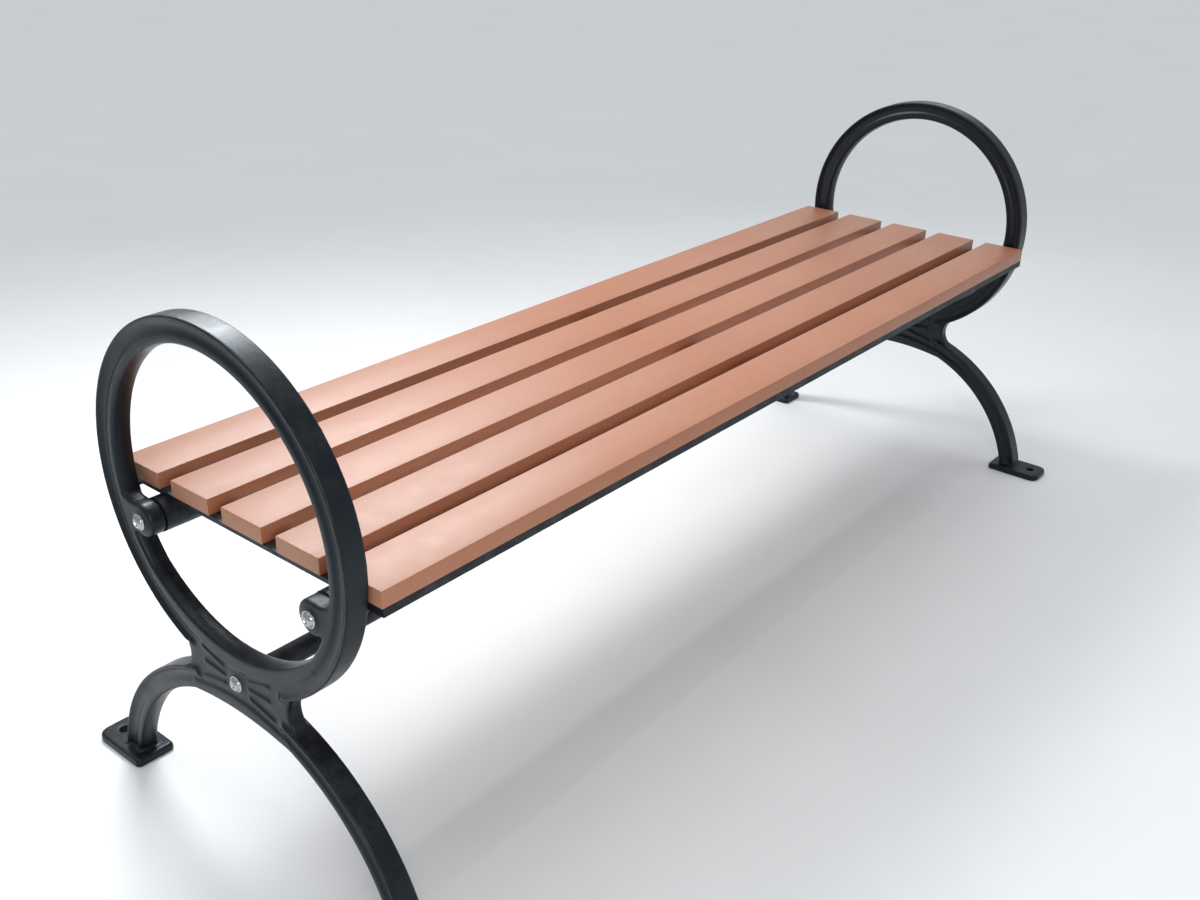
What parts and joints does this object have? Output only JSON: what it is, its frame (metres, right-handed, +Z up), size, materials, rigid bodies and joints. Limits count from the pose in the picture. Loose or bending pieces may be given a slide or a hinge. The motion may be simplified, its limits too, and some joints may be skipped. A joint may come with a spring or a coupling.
{
  "type": "backless bench",
  "caption": "Backless outdoor bench: flat slats between two cast ends, each a round armrest ring standing on arched legs with bolt-down feet.",
  "frame": {"origin": "on the floor under the middle of the bench", "axes": "+X along the slats to the right-hand end frame, front at -Y, +Z up"},
  "size_m": [1.624, 0.654, 0.6675],
  "materials": {
    "casting": "semi-gloss black powder coat on cast iron",
    "steel_frame": "semi-gloss black powder coat on steel",
    "slat": "terracotta recycled-plastic board, finely speckled",
    "fastener": "plain stainless steel",
    "plug": "plain steel"
  },
  "bodies": {
    "root": {"end_frame_left": "casting", "end_frame_right": "casting", "slat_front": "slat", "slat_mid_front": "slat", "slat_centre": "slat", "slat_mid_back": "slat", "slat_back": "slat", "cross_strap_left": "steel_frame", "slat_screws_left": "fastener", "cross_strap_centre": "steel_frame", "slat_screws_centre": "fastener", "cross_strap_right": "steel_frame", "slat_screws_right": "fastener", "edge_bar_front": "steel_frame", "edge_bar_back": "steel_frame", "seat_tube_front": "steel_frame", "seat_front_plug_left": "plug", "seat_front_bolt_left": "fastener", "seat_front_plug_right": "plug", "seat_front_bolt_right": "fastener", "seat_tube_back": "steel_frame", "seat_back_plug_left": "plug", "seat_back_bolt_left": "fastener", "seat_back_plug_right": "plug", "seat_back_bolt_right": "fastener", "stretcher_tube": "steel_frame", "stretcher_plug_left": "plug", "stretcher_bolt_left": "fastener", "stretcher_plug_right": "plug", "stretcher_bolt_right": "fastener"}
  },
  "joints": []
}
